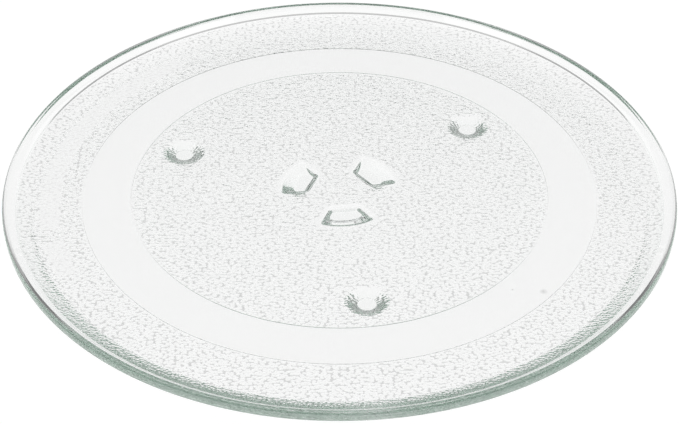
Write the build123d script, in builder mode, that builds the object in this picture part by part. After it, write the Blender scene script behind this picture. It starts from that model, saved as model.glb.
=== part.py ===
"""Glass turntable plate of a microwave oven.

A flat pressed-glass dish with a low rim. The underside has a roller track, three feet that it stands on
and three drive lugs around the centre. Millimetres, +Z up, origin on the axis at the plane of the feet.
"""
import math
import os

from build123d import *

# Base disc
plate_radius = 157.5
base_thickness = 5.0

# Rim, a short step and then a slope up to the crest
rim_rise = 4.1
crest_width = 2.45
rim_slope_angle = 41.0
rim_crest_round = 1.3
rim_edge_round = 1.2
step_rise = 1.1
step_draft = 20.0
step_round = 0.3

# Skirt, where the underside curves up to the outer wall
skirt_width = 14.0
skirt_start_angle = 13.0
skirt_rise = 4.9
skirt_round = 0.5

# Roller track, a shallow recess in the underside
track_inner_radius = 98.2
track_outer_radius = 121.0
track_depth = 0.4
track_wall_run = 0.08

# Feet
boss_count = 3
boss_start_angle = 38.6
foot_height = 4.5
foot_track_gap = 4.1
foot_end_radius = 4.2
foot_root_radius = 9.1
foot_end_round = 1.0
foot_root_round = 4.0

# Drive lugs, a little shorter than the feet
lug_standoff = 0.5
lug_inner_reach = 14.2
lug_length = 13.8
lug_outer_slope_angle = 33.0
lug_inner_half_width = 6.7
lug_side_angle = 29.0
lug_corner_round = 2.4
lug_draft = 18.0
lug_end_round = 0.8
lug_root_round = 2.6

# Levels above the plane of the feet
underside_z = foot_height
track_z = underside_z + track_depth
top_z = underside_z + base_thickness
crest_z = top_z + rim_rise
lug_end_z = lug_standoff
lug_height = underside_z - lug_end_z

# Circle of the feet, inside the roller track
foot_circle_radius = track_inner_radius - foot_track_gap - foot_root_round - foot_root_radius

# Corners of the rim section
step_z = top_z + step_rise
crest_inner_radius = plate_radius - crest_width
step_radius = crest_inner_radius - (crest_z - step_z) / math.tan(math.radians(rim_slope_angle))
flat_radius = step_radius - step_rise * math.tan(math.radians(step_draft))
skirt_start_radius = plate_radius - skirt_width
edge_low_z = underside_z + skirt_rise
skirt_direction = (math.cos(math.radians(skirt_start_angle)), math.sin(math.radians(skirt_start_angle)))

# Drive lug in plan, with its own radial line along X; the flanks run on past the outer slope
lug_outer_radius = lug_inner_reach + lug_length
lug_wall_run = lug_height * math.tan(math.radians(lug_draft))
lug_end_radius = lug_outer_radius - lug_height / math.tan(math.radians(lug_outer_slope_angle))
lug_plan_reach = lug_outer_radius + 2 * lug_wall_run
lug_side_slope = math.tan(math.radians(lug_side_angle))
lug_plan_half_width = lug_inner_half_width + (lug_plan_reach - lug_inner_reach) * lug_side_slope

# Plan of a drive lug: a straight inner side and spread flanks
with BuildSketch() as lug_plan:
    with BuildLine():
        Polyline(
            (lug_inner_reach, lug_inner_half_width),
            (lug_inner_reach, -lug_inner_half_width),
            (lug_plan_reach, -lug_plan_half_width),
            (lug_plan_reach, lug_plan_half_width),
            close=True,
        )
    make_face()
    fillet(lug_plan.vertices().group_by(Axis.X)[0], lug_corner_round)

# The three lugs: steep at the inner side and the flanks, with a gentle slope about the axis outside
with BuildPart() as drive_lugs:
    with BuildSketch(Plane.XY.offset(underside_z)):
        with PolarLocations(0, boss_count, start_angle=boss_start_angle):
            add(lug_plan.sketch)
    extrude(amount=-lug_height, taper=lug_draft)
    with Locations((0, 0, lug_end_z)):
        Cone(
            bottom_radius=lug_end_radius,
            top_radius=lug_outer_radius,
            height=lug_height,
            align=(Align.CENTER, Align.CENTER, Align.MIN),
            mode=Mode.INTERSECT,
        )
    lug_corners = (
        drive_lugs.edges()
        .filter_by(lambda edge: lug_end_z < edge.center().Z < underside_z)
        .filter_by(lambda edge: math.hypot(edge.center().X, edge.center().Y) > lug_end_radius)
        .filter_by(lambda edge: abs((edge @ 1).Z - (edge @ 0).Z) > lug_height / 2)
    )
    fillet(lug_corners, lug_corner_round)

with BuildPart() as turntable_plate:
    # Disc, track and rim are one section turned about the axis
    with BuildSketch(Plane.XZ) as section:
        with BuildLine():
            Polyline(
                (skirt_start_radius, underside_z),
                (track_outer_radius, underside_z),
                (track_outer_radius - track_wall_run, track_z),
                (track_inner_radius + track_wall_run, track_z),
                (track_inner_radius, underside_z),
                (0, underside_z),
                (0, top_z),
                (flat_radius, top_z),
                (step_radius, step_z),
                (crest_inner_radius, crest_z),
                (plate_radius, crest_z),
                (plate_radius, edge_low_z),
            )
            TangentArc((skirt_start_radius, underside_z), (plate_radius, edge_low_z), tangent=skirt_direction)
        make_face()
        skirt_corner = section.vertices().sort_by_distance((skirt_start_radius, underside_z))[0]
        fillet(skirt_corner, skirt_round)
        step_foot = section.vertices().sort_by_distance((flat_radius, top_z))[0]
        step_top = section.vertices().sort_by_distance((step_radius, step_z))[0]
        fillet([step_foot, step_top], step_round)
        rim_crest = section.vertices().sort_by_distance((crest_inner_radius, crest_z))[0]
        fillet(rim_crest, rim_crest_round)
        edge_low = section.vertices().sort_by_distance((plate_radius, edge_low_z))[0]
        edge_high = section.vertices().sort_by_distance((plate_radius, crest_z))[0]
        fillet([edge_low, edge_high], rim_edge_round)
    revolve(axis=Axis.Z)

    # Feet, tapered buttons that run into the underside
    with PolarLocations(foot_circle_radius, boss_count, start_angle=boss_start_angle):
        Cone(
            bottom_radius=foot_end_radius,
            top_radius=foot_root_radius,
            height=foot_height,
            align=(Align.CENTER, Align.CENTER, Align.MIN),
        )
    foot_ends = turntable_plate.edges().filter_by(GeomType.CIRCLE).group_by(Axis.Z)[0]
    fillet(foot_ends, foot_end_round)
    foot_roots = (
        turntable_plate.edges()
        .filter_by(GeomType.CIRCLE)
        .filter_by(lambda edge: math.isclose(edge.radius, foot_root_radius, abs_tol=0.01))
    )
    fillet(foot_roots, foot_root_round)

    # Drive lugs around the centre
    add(drive_lugs.part)
    lug_ends = turntable_plate.faces().filter_by(Axis.Z).group_by(Axis.Z)[1]
    fillet(lug_ends.edges(), lug_end_round)
    hub_zone = lug_outer_radius + lug_root_round
    lug_roots = (
        turntable_plate.edges()
        .filter_by(lambda edge: math.isclose(edge.center().Z, underside_z, abs_tol=0.01))
        .filter_by(lambda edge: math.hypot(edge.center().X, edge.center().Y) < hub_zone)
    )
    fillet(lug_roots, lug_root_round)

turntable_plate.part.label = "turntable_plate"
os.makedirs("parts", exist_ok=True)
export_step(turntable_plate.part, "parts/turntable_plate.step")
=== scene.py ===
"""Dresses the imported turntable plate: one disc of clear pressed glass on a pale studio floor.

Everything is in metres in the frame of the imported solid. Section sizes are written in millimetres.
"""
import logging
import math
from contextlib import contextmanager
from dataclasses import dataclass, field
from enum import Enum
from typing import Iterator

import bmesh
import bpy
import numpy as np
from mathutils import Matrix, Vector


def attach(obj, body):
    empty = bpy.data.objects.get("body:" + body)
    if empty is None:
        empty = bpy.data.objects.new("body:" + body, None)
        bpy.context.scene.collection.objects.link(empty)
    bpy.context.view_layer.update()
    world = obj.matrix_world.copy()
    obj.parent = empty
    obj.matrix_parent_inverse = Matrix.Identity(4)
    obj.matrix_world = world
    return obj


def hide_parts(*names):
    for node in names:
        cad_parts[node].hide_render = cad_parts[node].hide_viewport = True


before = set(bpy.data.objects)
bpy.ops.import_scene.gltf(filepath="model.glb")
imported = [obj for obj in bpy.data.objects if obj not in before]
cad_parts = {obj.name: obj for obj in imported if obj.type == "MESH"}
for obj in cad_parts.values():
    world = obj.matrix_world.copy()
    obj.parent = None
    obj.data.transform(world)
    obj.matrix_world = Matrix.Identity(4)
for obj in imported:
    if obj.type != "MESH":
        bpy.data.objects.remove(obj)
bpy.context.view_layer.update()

LOG = logging.getLogger("turntable_plate")
MM = 0.001
NEAR_ZERO = 1e-12
NODE = "turntable_plate"
SLOT = "clear_glass"
BODY = "root"

Point = tuple[float, float]
Corner = tuple[float, float, float]
Span = tuple[float, float]
Colour = tuple[float, float, float, float]
Socket = bpy.types.NodeSocket
Tree = bpy.types.NodeTree


class Element(Enum):
    """Kinds of mesh element that are selected in edit mode."""

    VERTEX = "VERT"
    EDGE = "EDGE"


class Mask(Enum):
    """Attributes of the mesh that say where the mould left its texture, and where the furrows of the
    grain take painted shade.
    """

    PEBBLED = "pebbled"
    # painted shade: where the furrows of the grain are greyed for the light and dark that the pebbles
    # throw
    TONED = "toned"


class Combine(Enum):
    """Ways to make one value of two in a material."""

    PRODUCT = "MULTIPLY"
    LARGER = "MAXIMUM"


class Ease(Enum):
    """Ways to fade from one value to another in a material."""

    SMOOTH = "SMOOTHSTEP"
    EVEN = "LINEAR"


def deselect_all() -> None:
    """Leaves no object selected."""
    for item in bpy.context.selected_objects:
        item.select_set(False)


def activate(piece: bpy.types.Object) -> None:
    """Makes one object the only selected and the active one.

    Args:
        piece: The object to work on.
    """
    deselect_all()
    piece.select_set(True)
    bpy.context.view_layer.objects.active = piece


@contextmanager
def edit_mode(piece: bpy.types.Object, element: Element = Element.VERTEX) -> Iterator[None]:
    """Opens an object in edit mode with nothing selected, and closes it again.

    Args:
        piece: The object to edit.
        element: The kind of element that is selected.

    Returns:
        A context in which the object is open.
    """
    activate(piece)
    bpy.ops.object.mode_set(mode="EDIT")
    bpy.ops.mesh.select_mode(type=element.value)
    bpy.ops.mesh.select_all(action="DESELECT")
    yield
    bpy.ops.object.mode_set(mode="OBJECT")


def select_open_edges() -> None:
    """Selects the open edges of the mesh that is in edit mode."""
    bpy.ops.mesh.select_non_manifold(use_wire=False, use_multi_face=False, use_non_contiguous=False)


def face_outwards() -> None:
    """Points all faces of the closed mesh that is in edit mode outwards."""
    bpy.ops.mesh.select_all(action="SELECT")
    bpy.ops.mesh.normals_make_consistent(inside=False)


def coordinates(piece: bpy.types.Object) -> np.ndarray:
    """Reads the vertices of a mesh.

    Args:
        piece: The mesh object.

    Returns:
        One row of x, y and z for each vertex, in metres.
    """
    flat = np.zeros(len(piece.data.vertices) * 3, np.float32)
    piece.data.vertices.foreach_get("co", flat)
    return flat.reshape(-1, 3).astype(float)


def place_vertices(piece: bpy.types.Object, points: np.ndarray) -> None:
    """Moves the vertices of a mesh to the given places.

    Args:
        piece: The mesh object.
        points: One row of x, y and z for each vertex, in metres.
    """
    piece.data.vertices.foreach_set("co", points.astype(np.float32).ravel())
    piece.data.update()


def eased(share: np.ndarray) -> np.ndarray:
    """Limits shares to 0 and 1 and eases them in and out."""
    held = np.clip(share, 0.0, 1.0)
    return held * held * (3 - 2 * held)


def rounded(corners: list[Corner], steps: int) -> list[Point]:
    """Rounds the corners of an open line in a plane.

    Args:
        corners: Corner points, each with the radius of its rounding, which is 0 for a sharp corner.
        steps: Number of chords in each rounding.

    Returns:
        The points of the rounded line.
    """
    line: list[Point] = []
    for i, (x, y, radius) in enumerate(corners):
        corner = Vector((x, y))
        if radius <= 0 or i in (0, len(corners) - 1):
            line.append((x, y))
            continue
        back = (Vector(corners[i - 1][:2]) - corner).normalized()
        ahead = (Vector(corners[i + 1][:2]) - corner).normalized()
        half = back.angle(ahead) / 2
        reach = radius / math.tan(half)
        centre = corner + (back + ahead).normalized() * radius / math.sin(half)
        first = corner + back * reach - centre
        last = corner + ahead * reach - centre
        turn = first.angle(last)
        for k in range(steps + 1):
            share = k / steps
            swing = math.sin((1 - share) * turn) * first + math.sin(share * turn) * last
            spoke = swing / math.sin(turn)
            line.append((centre.x + spoke.x, centre.y + spoke.y))
    return line


def loft(piece: bpy.types.Object, outlines: list[np.ndarray]) -> None:
    """Lays a ring on the first of some outlines and extrudes it from each to the next.

    Args:
        piece: A mesh that is one filled or open ring with as many vertices as each outline.
        outlines: Rings of x, y and z in metres, in order.
    """
    place_vertices(piece, outlines[0])
    with edit_mode(piece, Element.EDGE):
        bpy.ops.mesh.select_all(action="SELECT")
        for before, after in zip(outlines, outlines[1:]):
            rise = float(after[0][2] - before[0][2])
            bpy.ops.mesh.extrude_edges_move(TRANSFORM_OT_translate={"value": (0.0, 0.0, rise)})
            form = bmesh.from_edit_mesh(piece.data)
            for vert in form.verts:
                if vert.select:
                    gap = np.hypot(before[:, 0] - vert.co.x, before[:, 1] - vert.co.y)
                    vert.co = Vector(after[int(gap.argmin())])
            bmesh.update_edit_mesh(piece.data)


def ring(radius: float, height: float, count: int, at: Point = (0.0, 0.0)) -> np.ndarray:
    """Makes a level circle of points.

    Args:
        radius: Radius in millimetres.
        height: Level in millimetres.
        count: Number of points.
        at: Centre in millimetres.

    Returns:
        One row of x, y and z for each point, in metres.
    """
    turn = np.arange(count) * 2 * math.pi / count
    flat = np.stack([at[0] + radius * np.cos(turn), at[1] + radius * np.sin(turn)], 1)
    return np.column_stack([flat, np.full(count, height)]) * MM


def outline_gap(x: np.ndarray, y: np.ndarray, plan: np.ndarray) -> np.ndarray:
    """Distance of points from a closed outline, negative inside it.

    Args:
        x: Places along X.
        y: Places along Y.
        plan: One row of x and y for each corner of the outline, in order.

    Returns:
        Distances in the same unit.
    """
    near = np.full(x.shape, np.inf)
    inside = np.zeros(x.shape, bool)
    for (ax, ay), (bx, by) in zip(plan, np.roll(plan, -1, axis=0)):
        run, rise = bx - ax, by - ay
        along = ((x - ax) * run + (y - ay) * rise) / max(run**2 + rise**2, NEAR_ZERO)
        share = np.clip(along, 0.0, 1.0)
        near = np.minimum(near, np.hypot(x - ax - share * run, y - ay - share * rise))
        if abs(rise) > NEAR_ZERO:
            inside ^= ((ay > y) != (by > y)) & (x < ax + (y - ay) * run / rise)
    return np.where(inside, -near, near)


def grey(level: float) -> Colour:
    """Gives a neutral colour, from 0 for black to 1 for white."""
    return (level, level, level, 1.0)


def combined(tree: Tree, way: Combine, first: Socket, second: Socket) -> Socket:
    """Adds a node that makes one value of two.

    Args:
        tree: The nodes of the material.
        way: How the values are combined.
        first: The first value.
        second: The second value.

    Returns:
        The combined value.
    """
    node = tree.nodes.new("ShaderNodeMath")
    node.operation = way.value
    tree.links.new(first, node.inputs[0])
    tree.links.new(second, node.inputs[1])
    return node.outputs[0]


def faded(tree: Tree, value: Socket, span: Span, result: Span, ease: Ease = Ease.SMOOTH) -> Socket:
    """Adds a node that fades from one value to another.

    Args:
        tree: The nodes of the material or the room.
        value: The value that the fade follows.
        span: Where the fade starts and ends.
        result: What it gives at its start and its end.
        ease: How it goes from the one to the other.

    Returns:
        The faded value.
    """
    node = tree.nodes.new("ShaderNodeMapRange")
    node.interpolation_type = ease.value
    for name, number in zip(("From Min", "From Max", "To Min", "To Max"), (*span, *result)):
        node.inputs[name].default_value = number
    tree.links.new(value, node.inputs["Value"])
    return node.outputs["Result"]


def masked(tree: Tree, mask: Mask) -> Socket:
    """Adds a node that reads a mask of the mesh.

    Args:
        tree: The nodes of the material.
        mask: The mask.

    Returns:
        The share that the mask gives at each point.
    """
    node = tree.nodes.new("ShaderNodeAttribute")
    node.attribute_name = mask.value
    return node.outputs["Fac"]


@dataclass(frozen=True)
class Levels:
    """Heights of the plate above the plane of its feet, in millimetres."""

    underside: float = 4.5
    track: float = 4.9
    top: float = 9.5
    step: float = 10.6
    crest: float = 13.6
    edge: float = 9.4


@dataclass(frozen=True)
class Smudge:
    """A small grey mark under the roller track, in millimetres and degrees."""

    reach: float
    angle: float
    radius: float
    level: float = Levels.track
    strength: float = 0.9

    def share(self, tree: Tree, place: Socket) -> Socket:
        """Adds the nodes that say how strong the mark is at a place.

        Args:
            tree: The nodes of the glass.
            place: The place, in metres.

        Returns:
            A value that fades from the strength of the mark at its centre to 0.
        """
        turn = math.radians(self.angle)
        spot = Vector((self.reach * math.cos(turn), self.reach * math.sin(turn), self.level))
        gap = tree.nodes.new("ShaderNodeVectorMath")
        gap.operation = "DISTANCE"
        gap.inputs[1].default_value = spot * MM
        tree.links.new(place, gap.inputs[0])
        return faded(tree, gap.outputs["Value"], (0.0, self.radius * MM), (self.strength, 0.0))


@dataclass(frozen=True)
class ClearGlass:
    """Clear soda-lime glass, faintly green through its length, with a fine grain where it is pebbled.

    The grey in the furrows of the grain is painted shade, which stands for the light and dark that the
    pebbles throw.
    """

    ior: float = 1.5
    roughness: float = 0.0
    transmission: float = 1.0
    tint: tuple[float, float, float] = (0.51, 0.78, 0.63)
    tint_density: float = 3.2
    grain_scale: tuple[float, float, float] = (620.0, 860.0, 0.0)
    grain_depth: float = 0.00017
    grain_softness: float = 0.3
    wave_scale: float = 24.0
    wave_depth: float = 0.00002
    # where the painted shade in the furrows starts and where it is full, in shares of the grain's size
    painted_shade_start: float = 0.43
    painted_shade_end: float = 0.75
    # grey of the painted shade in the furrows, and of the smudges
    tone: float = 0.55
    smudges: tuple[Smudge, ...] = (Smudge(116.7, 320.4, 2.4), Smudge(105.7, 316.2, 0.9))

    def make(self) -> bpy.types.Material:
        """Builds the node material.

        Returns:
            The glass material.
        """
        glass = bpy.data.materials.new(SLOT)
        glass.use_nodes = True
        tree = glass.node_tree
        shader = tree.nodes["Principled BSDF"]
        shader.inputs["Roughness"].default_value = self.roughness
        shader.inputs["IOR"].default_value = self.ior
        shader.inputs["Transmission Weight"].default_value = self.transmission
        body = tree.nodes.new("ShaderNodeVolumeAbsorption")
        body.inputs["Color"].default_value = (*self.tint, 1.0)
        body.inputs["Density"].default_value = self.tint_density
        tree.links.new(body.outputs["Volume"], tree.nodes["Material Output"].inputs["Volume"])
        place = tree.nodes.new("ShaderNodeTexCoord").outputs["Object"]
        grain = self.grain(tree, place)
        tree.links.new(self.relief(tree, place, grain), shader.inputs["Normal"])
        tree.links.new(self.shade(tree, place, grain), shader.inputs["Base Color"])
        return glass

    def grain(self, tree: Tree, place: Socket) -> Socket:
        """Adds the pattern of the grain.

        Args:
            tree: The nodes of the glass.
            place: The place, in metres.

        Returns:
            The distance from the middle of a grain, in shares of its size.
        """
        spread = tree.nodes.new("ShaderNodeVectorMath")
        spread.operation = "MULTIPLY"
        spread.inputs[1].default_value = self.grain_scale
        tree.links.new(place, spread.inputs[0])
        cells = tree.nodes.new("ShaderNodeTexVoronoi")
        cells.voronoi_dimensions = "2D"
        cells.feature = "SMOOTH_F1"
        cells.inputs["Scale"].default_value = 1.0
        cells.inputs["Smoothness"].default_value = self.grain_softness
        tree.links.new(spread.outputs["Vector"], cells.inputs["Vector"])
        return cells.outputs["Distance"]

    def shade(self, tree: Tree, place: Socket, grain: Socket) -> Socket:
        """Adds the colour: painted shade, greyer in the furrows between the grains, grey smudges, and
        clear elsewhere.

        Args:
            tree: The nodes of the glass.
            place: The place, in metres.
            grain: The pattern of the grain.

        Returns:
            The colour that the shader uses.
        """
        # painted shade in the furrows of the grain, where the mesh is marked for it
        furrow = faded(tree, grain, (self.painted_shade_start, self.painted_shade_end), (0.0, 1.0))
        share = combined(tree, Combine.PRODUCT, furrow, masked(tree, Mask.TONED))
        for smudge in self.smudges:
            share = combined(tree, Combine.LARGER, share, smudge.share(tree, place))
        colour = tree.nodes.new("ShaderNodeMix")
        colour.data_type = "RGBA"
        colour.inputs["A"].default_value = grey(1.0)
        colour.inputs["B"].default_value = grey(self.tone)
        tree.links.new(share, colour.inputs["Factor"])
        return colour.outputs["Result"]

    def relief(self, tree: Tree, place: Socket, grain: Socket) -> Socket:
        """Adds the fine relief: the grain between the pebbles, and the slow waves of pressed glass.

        Args:
            tree: The nodes of the glass.
            place: The place, in metres.
            grain: The pattern of the grain.

        Returns:
            The normal that the shader uses.
        """
        waves = tree.nodes.new("ShaderNodeTexNoise")
        waves.inputs["Scale"].default_value = self.wave_scale
        waves.inputs["Detail"].default_value = 0.0
        tree.links.new(place, waves.inputs["Vector"])
        wave_bump = tree.nodes.new("ShaderNodeBump")
        wave_bump.inputs["Distance"].default_value = self.wave_depth
        tree.links.new(waves.outputs["Fac"], wave_bump.inputs["Height"])
        height = combined(tree, Combine.PRODUCT, grain, masked(tree, Mask.PEBBLED))
        grain_bump = tree.nodes.new("ShaderNodeBump")
        grain_bump.inputs["Distance"].default_value = self.grain_depth
        tree.links.new(height, grain_bump.inputs["Height"])
        tree.links.new(wave_bump.outputs["Normal"], grain_bump.inputs["Normal"])
        return grain_bump.outputs["Normal"]


@dataclass
class Skirt:
    """The curve of the underside up to the outer wall, an arc that leaves the disc at a slope."""

    start_radius: float = 143.5
    end_radius: float = 157.4
    start_slope: float = 13.0
    floor: float = Levels.underside
    rise: float = Levels.edge - Levels.underside

    def height(self, radius: float) -> float:
        """Level of the curve at a distance from the axis.

        Args:
            radius: Distance from the axis in millimetres.

        Returns:
            The level in millimetres.
        """
        run = self.end_radius - self.start_radius
        slope = math.radians(self.start_slope)
        lean = math.atan2(self.rise, run) - slope
        bow = math.hypot(run, self.rise) / (2 * math.sin(lean))
        across = math.sin(slope) + (radius - self.start_radius) / bow
        return self.floor + bow * (math.cos(slope) - math.sqrt(1 - across**2))

    def lower_face(self, radii: np.ndarray) -> np.ndarray:
        """Levels of the lower face at distances from the axis, flat at first and then on the curve.

        Args:
            radii: Distances from the axis in millimetres.

        Returns:
            The levels in millimetres.
        """
        levels = np.full(radii.shape, self.floor)
        curved = radii > self.start_radius
        levels[curved] = [self.height(radius) for radius in radii[curved]]
        return levels


@dataclass
class Boss:
    """A raised form on the underside, lofted from its flat end up into the disc."""

    angle: float
    root_level: float = Levels.underside
    root_sink: float = 1.5
    root_lip: float = 0.06
    lip_run: float = 0.8
    round_steps: int = 6
    grained: bool = False

    def section(self) -> list[Point]:
        """Gives the reach and level of the outlines, from the end upwards."""
        raise NotImplementedError

    def outline(self, reach: float, level: float) -> np.ndarray:
        """Gives the outline in plan at a reach and a level, in millimetres."""
        raise NotImplementedError

    def grain(self, points: np.ndarray) -> np.ndarray:
        """Says how strongly points of the form are grained, none unless a form says otherwise."""
        return np.zeros(len(points))

    def build(self, name: str) -> bpy.types.Object:
        """Lofts the form.

        Args:
            name: Name of the object.

        Returns:
            A closed mesh that runs a little way into the disc.
        """
        line = self.section()
        reach, level = line[-1]
        line += [(reach + self.lip_run, level + rise) for rise in (self.root_lip, self.root_sink)]
        plans = [(self.outline(reach, level), level) for reach, level in line]
        rings = [np.column_stack([plan, np.full(len(plan), level)]) * MM for plan, level in plans]
        bpy.ops.mesh.primitive_circle_add(vertices=len(rings[0]), fill_type="NGON")
        piece = bpy.context.object
        piece.name = name
        loft(piece, rings)
        with edit_mode(piece, Element.EDGE):
            select_open_edges()
            bpy.ops.mesh.edge_face_add()
            face_outwards()
        return piece


@dataclass
class Foot(Boss):
    """A round tapered button that the plate stands on."""

    circle_radius: float = 81.0
    end_radius: float = 4.2
    root_radius: float = 9.1
    end_round: float = 1.0
    root_round: float = 4.0
    wall_grain: float = 2.1
    grained: bool = True
    sides: int = 72

    def centre(self) -> Point:
        """Gives the foot's own centre, in millimetres."""
        turn = math.radians(self.angle)
        return (self.circle_radius * math.cos(turn), self.circle_radius * math.sin(turn))

    def section(self) -> list[Point]:
        """Gives the rings from the end upwards.

        Returns:
            The radius and level of each ring, in millimetres.
        """
        corners = [
            (0.0, 0.0, 0.0),
            (self.end_radius, 0.0, self.end_round),
            (self.root_radius, self.root_level, self.root_round),
            (2 * self.root_radius, self.root_level, 0.0),
        ]
        return rounded(corners, self.round_steps)[1:-1]

    def outline(self, reach: float, level: float) -> np.ndarray:
        """Gives a circle about the foot's own centre.

        Args:
            reach: Radius in millimetres.
            level: Level in millimetres, which makes no difference to a circle of given radius.

        Returns:
            One row of x and y for each point, in millimetres.
        """
        return ring(reach, level, self.sides, self.centre())[:, :2] / MM

    def grain(self, points: np.ndarray) -> np.ndarray:
        """Says how strongly points are grained: only the wall is, below the disc.

        Args:
            points: One row of x, y and z for each point, in metres.

        Returns:
            Shares, 0 or the grain of the wall.
        """
        x, y = self.centre()
        gap = np.hypot(points[:, 0] / MM - x, points[:, 1] / MM - y)
        below = points[:, 2] / MM < self.root_level - 2 * self.root_lip
        wall = (gap > self.end_radius) & (gap < self.root_radius + self.root_round) & below
        return np.where(wall, self.wall_grain, 0.0)


@dataclass
class DriveLug(Boss):
    """A lug that the drive turns: a straight inner side, spread flanks and a gentle slope outside."""

    inner_reach: float = 14.2
    outer_radius: float = 28.0
    outer_slope: float = 33.0
    inner_half_width: float = 6.7
    side_angle: float = 29.0
    corner_round: float = 2.4
    draft: float = 18.0
    end_level: float = 0.5
    end_round: float = 0.8
    root_round: float = 2.6
    corner_steps: int = 8
    arc_steps: int = 8
    arc_margin: int = 2
    least_round: float = 0.35

    def section(self) -> list[Point]:
        """Gives the outlines from the end upwards.

        Returns:
            How far each outline stands out from the plan, and its level, in millimetres.
        """
        height = self.root_level - self.end_level
        taper = height * math.tan(math.radians(self.draft))
        corners = [
            (-self.inner_half_width, self.end_level, 0.0),
            (-taper, self.end_level, self.end_round),
            (0.0, self.root_level, self.root_round),
            (self.inner_half_width, self.root_level, 0.0),
        ]
        return rounded(corners, self.round_steps)[1:-1]

    def outer_shift(self, reach: float, level: float) -> float:
        """Says how far the outer slope stands out from its root circle.

        Args:
            reach: Distance of the outline from the plan in millimetres, negative for inwards.
            level: Level in millimetres.

        Returns:
            The distance in millimetres, negative for inwards.
        """
        run = (self.root_level - self.end_level) / math.tan(math.radians(self.outer_slope))
        corners = [
            (-2 * run, self.end_level, 0.0),
            (-run, self.end_level, self.end_round),
            (0.0, self.root_level, self.root_round),
            (run, self.root_level, 0.0),
        ]
        shifts, heights = zip(*rounded(corners, self.round_steps)[1:-1])
        return float(np.interp(level, heights, shifts)) + max(reach - self.section()[-1][0], 0.0)

    def outline(self, reach: float, level: float) -> np.ndarray:
        """Gives the plan moved outwards by a distance, turned to the lug's own angle.

        Args:
            reach: Distance in millimetres, negative for inwards.
            level: Level in millimetres, which sets the outer slope.

        Returns:
            One row of x and y for each point, in millimetres.
        """
        slope = math.tan(math.radians(self.side_angle))
        side = self.inner_half_width - self.inner_reach * slope + reach * math.hypot(1.0, slope)
        inner, outer = self.inner_reach - reach, self.outer_radius + self.outer_shift(reach, level)
        half = side * slope / (1 + slope**2)
        far = math.sqrt(half**2 + (outer**2 - side**2) / (1 + slope**2)) - half
        spread = math.atan2(side + far * slope, far)
        headings = np.linspace(-spread, spread, self.arc_steps + 1)
        arc = [(outer * math.cos(heading), outer * math.sin(heading)) for heading in headings]
        tight = max(self.corner_round + reach, self.least_round)
        corners = [
            (inner, 0.0, 0.0),
            (inner, -side - inner * slope, tight),
            (*arc[0], self.corner_round),
            *((x, y, 0.0) for x, y in arc[self.arc_margin : -self.arc_margin]),
            (*arc[-1], self.corner_round),
            (inner, side + inner * slope, tight),
            (inner, 0.0, 0.0),
        ]
        plan = np.array(rounded(corners, self.corner_steps)[:-1])
        turn = math.radians(self.angle)
        spin = np.array([[math.cos(turn), math.sin(turn)], [-math.sin(turn), math.cos(turn)]])
        return plan @ spin


@dataclass
class SmoothPad:
    """A bare smooth strip with round ends among the pebbles, in millimetres and degrees."""

    start_angle: float
    end_angle: float
    radius: float = 136.1
    half_width: float = 3.9
    relief: float = 0.12

    def gap(self, x: np.ndarray, y: np.ndarray) -> np.ndarray:
        """Distance of points from the strip, negative inside it.

        Args:
            x: Places along X in millimetres.
            y: Places along Y in millimetres.

        Returns:
            Distances in millimetres.
        """
        cap = math.degrees(self.half_width / self.radius)
        turn = np.degrees(np.arctan2(y, x)) % 360
        held = np.radians(np.clip(turn, self.start_angle + cap, self.end_angle - cap))
        return np.hypot(x - self.radius * np.cos(held), y - self.radius * np.sin(held)) - self.half_width


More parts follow.
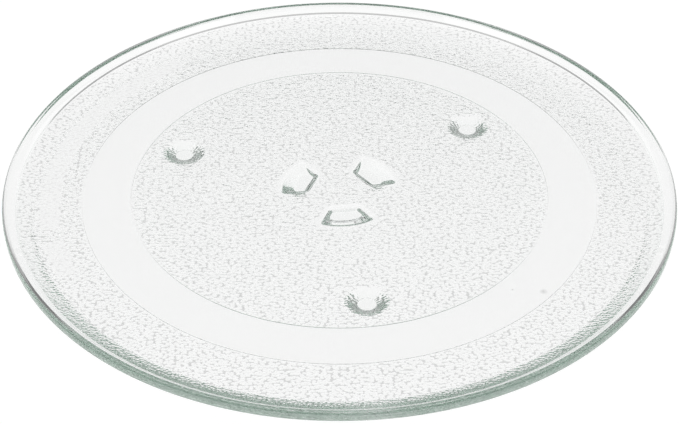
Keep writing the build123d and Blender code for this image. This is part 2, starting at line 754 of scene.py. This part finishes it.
@dataclass
class Underside:
    """The lower face of the disc with its pebbles, roller track and smooth pads, out to the skirt."""

    levels: Levels
    skirt: Skirt
    bosses: list[Boss]
    track_inner: float = 98.2
    track_outer: float = 121.0
    track_wall: float = 0.08
    texture_end: float = 152.6
    skirt_share: float = 0.25
    skirt_fade: float = 5.0
    seam_radius: float = 153.4
    sectors: int = 6
    sector_slack: float = 1e-6
    inner_rings: int = 114
    track_rings: int = 6
    outer_rings: int = 26
    coarse_cuts: int = 7
    fine_cuts: int = 19
    pebble_size: float = 1.9
    pebble_height: float = 0.1
    fade: float = 1.2
    boss_margin: float = 0.4
    pads: list[SmoothPad] = field(
        default_factory=lambda: [SmoothPad(128.0, 193.0), SmoothPad(197.0, 207.5)]
    )

    def rings(self) -> np.ndarray:
        """Lists the rings of the mesh from the axis outwards.

        Returns:
            One row of radius and level for each ring, in millimetres.
        """
        low, high = self.levels.underside, self.levels.track
        first, last = self.track_inner + self.track_wall, self.track_outer - self.track_wall
        curve_start = self.skirt.start_radius
        line = [(r, low) for r in np.linspace(0.0, self.track_inner, self.inner_rings + 1)]
        line += [(r, high) for r in np.linspace(first, last, self.track_rings + 1)]
        line += [(r, low) for r in np.linspace(self.track_outer, curve_start, self.outer_rings + 1)]
        total = (self.coarse_cuts + 1) * (self.fine_cuts + 1)
        rest = total + 1 - len(line)
        reach = np.linspace(curve_start, self.seam_radius, rest + 1)[1:]
        line += [(r, self.skirt.height(r)) for r in reach]
        return np.array(line)

    def build(self) -> bpy.types.Object:
        """Makes the face as a fine net of rings, then raises the pads and the pebbles.

        Returns:
            The open lower face.
        """
        bpy.ops.mesh.primitive_circle_add(vertices=self.sectors, radius=1.0, fill_type="TRIFAN")
        face = bpy.context.object
        face.name = "underside"
        with edit_mode(face):
            for cuts in (self.coarse_cuts, self.fine_cuts):
                bpy.ops.mesh.select_all(action="SELECT")
                bpy.ops.mesh.subdivide(number_cuts=cuts)
        self.round_off(face)
        self.raise_pads(face)
        self.press_pebbles(face)
        return face

    def round_off(self, face: bpy.types.Object) -> None:
        """Moves the rings of the six-sided net onto circles at their own levels.

        Args:
            face: The six-sided net, one unit in radius.
        """
        line = self.rings()
        net = coordinates(face)
        span = 2 * math.pi / self.sectors
        start = math.atan2(net[1][1], net[1][0])
        turn = (np.arctan2(net[:, 1], net[:, 0]) - start + self.sector_slack) % (2 * math.pi)
        sector = np.floor(turn / span)
        local = turn - sector * span
        reach = np.hypot(net[:, 0], net[:, 1])
        side = reach * np.sin(local) / math.sin(span)
        out = reach * np.cos(local) + side * (1 - math.cos(span))
        number = np.rint(out * (len(line) - 1)).astype(int)
        share = np.where(number > 0, side / np.maximum(out, NEAR_ZERO), 0.0)
        angle = (sector + share) * span
        radius, level = line[number, 0], line[number, 1]
        place_vertices(face, np.stack([radius * np.cos(angle), radius * np.sin(angle), level], 1) * MM)

    def pad_gap(self, x: np.ndarray, y: np.ndarray) -> np.ndarray:
        """Distance of points from the nearest smooth pad, in millimetres."""
        return np.minimum.reduce([pad.gap(x, y) for pad in self.pads])

    def pebbling(self, points: np.ndarray, bosses: list[Boss], pad_share: float = 0.0) -> np.ndarray:
        """Says how strongly each point of the lower face is pebbled.

        Args:
            points: One row of x, y and z for each point, in metres.
            bosses: The forms that stay clear of pebbles.
            pad_share: Share that is left on the smooth pads.

        Returns:
            Shares from 0, smooth, to 1, fully pebbled.
        """
        x, y = points[:, 0] / MM, points[:, 1] / MM
        reach = np.hypot(x, y)
        clear = np.maximum(self.track_inner - reach, reach - self.track_outer)
        clear = np.minimum(clear, self.texture_end - reach)
        for boss in bosses:
            out, level = boss.section()[-1]
            plan = boss.outline(out + self.boss_margin, level)
            clear = np.minimum(clear, outline_gap(x, y, plan))
        off_pad = pad_share + (1 - pad_share) * eased(self.pad_gap(x, y) / self.fade)
        return eased(clear / self.fade) * off_pad

    def skirt_ease(self, points: np.ndarray) -> np.ndarray:
        """Says how strong the relief is at points, 1 on the disc and less on the skirt.

        Args:
            points: One row of x, y and z for each point, in metres.

        Returns:
            Shares from the share of the skirt to 1.
        """
        out = np.hypot(points[:, 0], points[:, 1]) / MM - self.skirt.start_radius
        return 1 - (1 - self.skirt_share) * eased(out / self.skirt_fade)

    def raise_pads(self, face: bpy.types.Object) -> None:
        """Lets the smooth pads stand a little out of the underside.

        Args:
            face: The lower face.
        """
        net = coordinates(face)
        for pad in self.pads:
            share = eased(-pad.gap(net[:, 0] / MM, net[:, 1] / MM) / self.fade)
            net[:, 2] -= share * pad.relief * MM
        place_vertices(face, net)

    def press_pebbles(self, face: bpy.types.Object) -> None:
        """Displaces the pebbled zones.

        Args:
            face: The lower face.
        """
        group = face.vertex_groups.new(name=Mask.PEBBLED.value)
        net = coordinates(face)
        for index, share in enumerate(self.pebbling(net, self.bosses) * self.skirt_ease(net)):
            if share > 0:
                group.add([index], float(share), "REPLACE")
        pattern = bpy.data.textures.new("pebbles", "CLOUDS")
        pattern.noise_scale = self.pebble_size * MM
        pattern.noise_depth = 0
        press = face.modifiers.new("pebbles", "DISPLACE")
        press.texture = pattern
        press.texture_coords = "LOCAL"
        press.direction = "Z"
        press.strength = self.pebble_height * MM
        press.vertex_group = group.name
        activate(face)
        bpy.ops.object.modifier_apply(modifier=press.name)
        face.vertex_groups.clear()


@dataclass
class Rim:
    """The outer wall, the crest, the inner slope with its short step, and the flat food side."""

    levels: Levels
    skirt: Skirt
    seam_radius: float = 153.8
    outer_radius: float = Skirt.end_radius
    crest_inner: float = 155.0
    step_radius: float = 151.6
    flat_radius: float = 151.2
    edge_round: float = 1.2
    crest_round: float = 1.3
    step_round: float = 0.3
    flat_margin: float = 1.5
    skirt_rings: int = 3
    skirt_stop: float = 1.6
    round_steps: int = 8
    sides: int = 320

    def section(self) -> list[Point]:
        """Gives the rings from the skirt over the crest to the flat food side.

        Returns:
            The radius and level of each ring, in millimetres.
        """
        skirt_end = self.outer_radius - self.skirt_stop * self.edge_round
        skirt = np.linspace(self.seam_radius, skirt_end, self.skirt_rings)
        corners = [(float(r), self.skirt.height(float(r)), 0.0) for r in skirt]
        corners += [
            (self.outer_radius, self.levels.edge, self.edge_round),
            (self.outer_radius, self.levels.crest, self.edge_round),
            (self.crest_inner, self.levels.crest, self.crest_round),
            (self.step_radius, self.levels.step, self.step_round),
            (self.flat_radius, self.levels.top, self.step_round),
            (self.flat_radius - self.flat_margin, self.levels.top, 0.0),
        ]
        return rounded(corners, self.round_steps)

    def build(self) -> bpy.types.Object:
        """Extrudes the rim ring by ring and closes the food side.

        Returns:
            The open upper shell.
        """
        bpy.ops.mesh.primitive_circle_add(vertices=self.sides, radius=self.seam_radius * MM)
        shell = bpy.context.object
        shell.name = "rim"
        loft(shell, [ring(radius, level, self.sides) for radius, level in self.section()])
        inner = (self.flat_radius - self.flat_margin / 2) * MM
        with edit_mode(shell, Element.EDGE):
            form = bmesh.from_edit_mesh(shell.data)
            for edge in form.edges:
                if all(vert.co.xy.length < inner for vert in edge.verts):
                    edge.select_set(True)
            bmesh.update_edit_mesh(shell.data)
            bpy.ops.mesh.edge_face_add()
        return shell


@dataclass
class TurntablePlate:
    """The whole plate, one piece of glass."""

    finish: ClearGlass
    boss_angles: tuple[float, ...] = (38.6, 158.6, 278.6)
    smooth_angle: float = 40.0
    face_depth: float = 0.3
    # share of the painted furrow shade that is left on the smooth pads
    pad_painted_shade: float = 0.35
    levels: Levels = field(default_factory=Levels)
    skirt: Skirt = field(default_factory=Skirt)
    bosses: list[Boss] = field(init=False)
    underside: Underside = field(init=False)
    rim: Rim = field(init=False)

    def __post_init__(self) -> None:
        """Sets out the feet, the lugs and the two faces of the disc."""
        self.bosses = [form(angle) for form in (Foot, DriveLug) for angle in self.boss_angles]
        self.underside = Underside(self.levels, self.skirt, self.bosses)
        self.rim = Rim(self.levels, self.skirt)

    def build(self) -> bpy.types.Object:
        """Models the plate and dresses it.

        Returns:
            The finished plate.
        """
        plate = self.join_faces()
        self.add_bosses(plate)
        self.shade(plate)
        self.dress(plate)
        return plate

    def join_faces(self) -> bpy.types.Object:
        """Joins the lower face and the rim into one closed disc.

        Returns:
            The closed disc.
        """
        plate = self.underside.build()
        shell = self.rim.build()
        activate(plate)
        shell.select_set(True)
        bpy.ops.object.join()
        plate.name = "glass_plate"
        plate.data.name = "glass_plate"
        with edit_mode(plate, Element.EDGE):
            select_open_edges()
            bpy.ops.mesh.bridge_edge_loops()
            face_outwards()
        return plate

    def add_bosses(self, plate: bpy.types.Object) -> None:
        """Unites the feet and the lugs with the disc.

        Args:
            plate: The closed disc.
        """
        forms = [boss.build(f"boss_{number}") for number, boss in enumerate(self.bosses)]
        activate(forms[0])
        for form in forms[1:]:
            form.select_set(True)
        bpy.ops.object.join()
        unite = plate.modifiers.new("bosses", "BOOLEAN")
        unite.operation = "UNION"
        unite.solver = "EXACT"
        unite.object = forms[0]
        activate(plate)
        bpy.ops.object.modifier_apply(modifier=unite.name)
        bpy.data.objects.remove(forms[0])

    def shade(self, plate: bpy.types.Object) -> None:
        """Smooths the shading and keeps the flat faces flat.

        Args:
            plate: The united plate.
        """
        activate(plate)
        bpy.ops.object.shade_smooth_by_angle(angle=math.radians(self.smooth_angle))
        weigh = plate.modifiers.new("flat_faces", "WEIGHTED_NORMAL")
        weigh.keep_sharp = True
        bpy.ops.object.modifier_apply(modifier=weigh.name)

    def dress(self, plate: bpy.types.Object) -> None:
        """Gives the plate its glass and marks where it is pebbled and where its furrows take painted
        shade.

        Args:
            plate: The finished mesh.
        """
        net = coordinates(plate)
        smooth = [boss for boss in self.bosses if not boss.grained]
        # where the furrows take painted shade: the flat lower face clear of the lugs, and less on the
        # pads
        tone = self.underside.pebbling(net, smooth, self.pad_painted_shade)
        floor = self.skirt.lower_face(np.hypot(net[:, 0], net[:, 1]) / MM)
        tone[np.abs(net[:, 2] / MM - floor) > self.face_depth] = 0.0
        share = np.minimum(tone, self.underside.pebbling(net, smooth)) * self.underside.skirt_ease(net)
        for boss in self.bosses:
            share = np.maximum(share, boss.grain(net))
        for mask, values in ((Mask.PEBBLED, share), (Mask.TONED, tone)):
            layer = plate.data.attributes.new(mask.value, "FLOAT", "POINT")
            layer.data.foreach_set("value", values.astype(np.float32))
        plate.data.materials.clear()
        plate.data.materials.append(self.finish.make())


@dataclass(frozen=True)
class PaleFloor:
    """Matt white paper, lifted to white where it is seen, so that it still takes a shadow."""

    white: float = 0.15
    lift: float = 0.97

    def make(self) -> bpy.types.Material:
        """Builds the node material.

        Returns:
            The floor's material.
        """
        paper = bpy.data.materials.new("pale_floor")
        paper.use_nodes = True
        tree = paper.node_tree
        tree.nodes.remove(tree.nodes["Principled BSDF"])
        matt = tree.nodes.new("ShaderNodeBsdfDiffuse")
        matt.inputs["Color"].default_value = grey(self.white)
        path = tree.nodes.new("ShaderNodeLightPath")
        seen = path.outputs["Is Camera Ray"]
        for kind in ("Is Glossy Ray", "Is Transmission Ray"):
            seen = combined(tree, Combine.LARGER, seen, path.outputs[kind])
        glow = tree.nodes.new("ShaderNodeEmission")
        glow.inputs["Color"].default_value = grey(self.lift)
        tree.links.new(seen, glow.inputs["Strength"])
        both = tree.nodes.new("ShaderNodeAddShader")
        tree.links.new(matt.outputs[0], both.inputs[0])
        tree.links.new(glow.outputs[0], both.inputs[1])
        tree.links.new(both.outputs[0], tree.nodes["Material Output"].inputs["Surface"])
        return paper


@dataclass
class Studio:
    """Floor, soft light, room and camera, in metres, watts and degrees."""

    paper: PaleFloor
    floor_size: float = 12.0
    floor_drop: float = 0.00005
    room_grey: float = 0.04
    wall_grey: float = 0.55
    wall_height: float = 0.7
    lamp_place: tuple[float, float, float] = (0.0, 0.4, 2.0)
    lamp_size: Span = (3.0, 1.9)
    lamp_power: float = 15.0
    lens: float = 95.83
    sensor: float = 36.0
    distance: float = 0.855
    elevation: float = 37.48
    down: float = 0.732
    target_height: float = 0.0071
    bounces: int = 64

    def build(self) -> None:
        """Sets up the floor, the light, the room and the camera."""
        self.lay_floor()
        self.light()
        self.surround()
        self.aim()
        scene = bpy.context.scene
        scene.view_settings.view_transform = "Standard"
        scene.cycles.max_bounces = self.bounces
        scene.cycles.transmission_bounces = self.bounces
        scene.cycles.glossy_bounces = self.bounces

    def lay_floor(self) -> None:
        """Lays the floor just under the plane of the feet."""
        bpy.ops.mesh.primitive_plane_add(size=self.floor_size, location=(0.0, 0.0, -self.floor_drop))
        floor = bpy.context.object
        floor.name = "floor"
        floor.data.materials.append(self.paper.make())

    def light(self) -> None:
        """Hangs a soft box above the plate, a little way behind its middle."""
        lamp = bpy.data.lights.new("soft_box", "AREA")
        lamp.shape = "RECTANGLE"
        lamp.size, lamp.size_y = self.lamp_size
        lamp.energy = self.lamp_power
        holder = bpy.data.objects.new("soft_box", lamp)
        holder.location = self.lamp_place
        bpy.context.scene.collection.objects.link(holder)

    def surround(self) -> None:
        """Makes the room pale low down and dark above, and white where the camera sees it."""
        world = bpy.data.worlds.new("room")
        world.use_nodes = True
        bpy.context.scene.world = world
        tree = world.node_tree
        heading = tree.nodes.new("ShaderNodeSeparateXYZ")
        tree.links.new(tree.nodes.new("ShaderNodeTexCoord").outputs["Generated"], heading.inputs[0])
        greys = (self.wall_grey, self.room_grey)
        wall = faded(tree, heading.outputs["Z"], (0.0, self.wall_height), greys, Ease.EVEN)
        path = tree.nodes.new("ShaderNodeLightPath")
        tone = tree.nodes.new("ShaderNodeMix")
        tone.data_type = "RGBA"
        tone.inputs["B"].default_value = grey(1.0)
        tree.links.new(wall, tone.inputs["A"])
        tree.links.new(path.outputs["Is Camera Ray"], tone.inputs["Factor"])
        tree.links.new(tone.outputs["Result"], tree.nodes["Background"].inputs["Color"])

    def aim(self) -> None:
        """Puts the camera at the viewing angle of the photograph."""
        lens = bpy.data.cameras.new("camera")
        lens.lens = self.lens
        lens.sensor_width = self.sensor
        camera = bpy.data.objects.new("camera", lens)
        bpy.context.scene.collection.objects.link(camera)
        rise, dip = math.radians(self.elevation), math.radians(self.elevation + self.down)
        camera.location = Vector((0.0, -math.cos(rise), math.sin(rise))) * self.distance
        camera.location.z += self.target_height
        gaze = Vector((0.0, math.cos(dip), -math.sin(dip)))
        camera.rotation_euler = gaze.to_track_quat("-Z", "Y").to_euler()
        bpy.context.scene.camera = camera


def main() -> None:
    """Builds the plate and its studio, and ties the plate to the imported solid."""
    logging.basicConfig(level=logging.INFO, format="%(name)s: %(message)s")
    plate = TurntablePlate(ClearGlass()).build()
    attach(plate, BODY)
    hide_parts(NODE)
    LOG.info("%s: %d faces", plate.name, len(plate.data.polygons))
    Studio(PaleFloor()).build()


if __name__ == "__main__":
    main()
